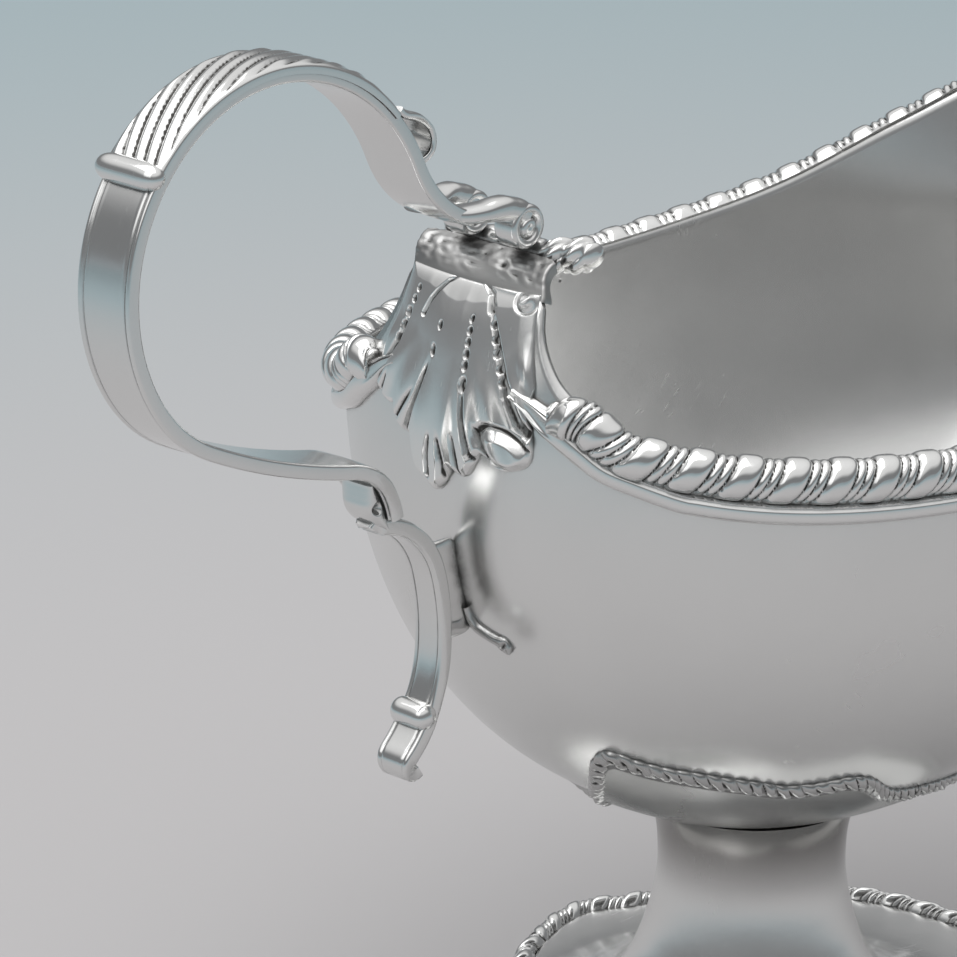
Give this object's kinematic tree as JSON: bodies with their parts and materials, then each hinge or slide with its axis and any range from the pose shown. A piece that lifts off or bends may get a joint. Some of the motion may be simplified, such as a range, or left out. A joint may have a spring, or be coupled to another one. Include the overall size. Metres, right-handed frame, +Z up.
{
  "type": "sauce boat",
  "caption": "Pedestal sauce boat in silver with a flying scroll handle, shell mount, gadrooned rim and shaped foot.",
  "frame": {"origin": "on the table under the centre of the stem, in the plane that the foot stands on", "axes": "+X towards the pouring lip, -X towards the handle, +Y to the left when looking along the pouring direction, +Z up"},
  "size_m": [0.2125, 0.1064, 0.1597],
  "materials": {
    "silver_sheet": "soft polished silver, finely scratched",
    "silver_cast": "polished cast silver, dark in the hollows",
    "silver_plain": "polished silver, worn",
    "silver_tarnished": "tarnished silver"
  },
  "bodies": {
    "root": {"body": "silver_sheet", "rim_gadroon_left": "silver_cast", "rim_gadroon_right": "silver_cast", "rim_gadroon_lip": "silver_cast", "rim_wire_left": "silver_plain", "rim_wire_right": "silver_plain", "crest_plate": "silver_sheet", "crest_bar": "silver_tarnished", "crest_knop_left": "silver_plain", "crest_knop_right": "silver_plain", "shell_mount": "silver_cast", "handle_upper_scroll": "silver_plain", "handle_lower_scroll": "silver_plain", "handle_leaf_cap": "silver_plain", "handle_cross_band": "silver_plain", "handle_thumb_scroll": "silver_plain", "handle_terminal_left": "silver_plain", "handle_terminal_right": "silver_plain", "handle_collar": "silver_plain", "lower_seat": "silver_tarnished", "seat_leaf_left": "silver_plain", "seat_leaf_right": "silver_plain", "calyx_plate": "silver_sheet", "calyx_gadroon_front_left": "silver_cast", "calyx_gadroon_front_right": "silver_cast", "calyx_gadroon_back_left": "silver_cast", "calyx_gadroon_back_right": "silver_cast", "stem": "silver_sheet", "foot_plate": "silver_sheet", "foot_gadroon_front_left": "silver_cast", "foot_gadroon_front_right": "silver_cast", "foot_gadroon_back_left": "silver_cast", "foot_gadroon_back_right": "silver_cast", "foot_base_wire": "silver_plain"}
  },
  "joints": []
}
